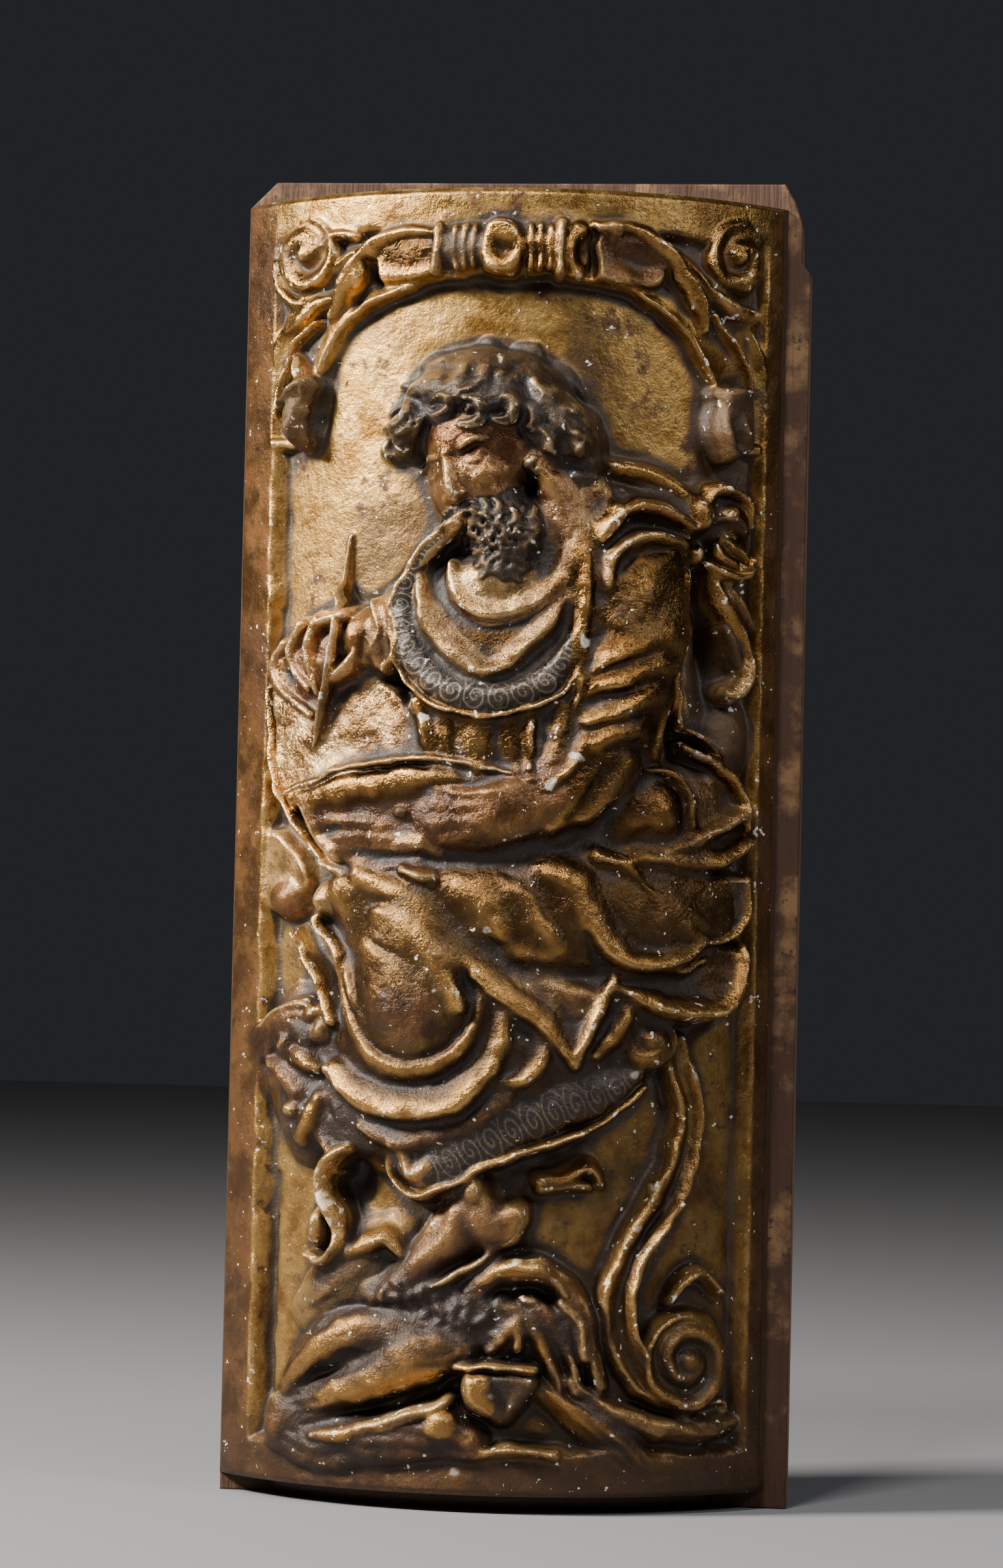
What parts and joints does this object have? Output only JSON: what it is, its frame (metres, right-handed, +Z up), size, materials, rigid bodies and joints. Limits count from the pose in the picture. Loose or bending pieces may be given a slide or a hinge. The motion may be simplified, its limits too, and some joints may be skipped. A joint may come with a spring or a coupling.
{
  "type": "carved relief panel",
  "caption": "Bowed upright wood panel carved in relief with a seated writer, an ox and scrollwork under an arch, gilded, on a flat backing board; stands on its underside.",
  "frame": {"origin": "middle of the underside of the whole part's box", "axes": "+Z up along the panel's height, -Y towards the viewer who faces the carving, +X to that viewer's right"},
  "size_m": [0.321, 0.1318, 0.745],
  "materials": {
    "carved_gilding": "worn water gilding and paint over red-brown bole and gesso on carved wood, chipped to white gesso on the edges",
    "board_wood": "old darkened softwood board, red-brown bole and worn gold on the front margin, bare and rough behind"
  },
  "bodies": {
    "root": {"carved_panel": "carved_gilding", "backing_board": "board_wood"}
  },
  "joints": []
}
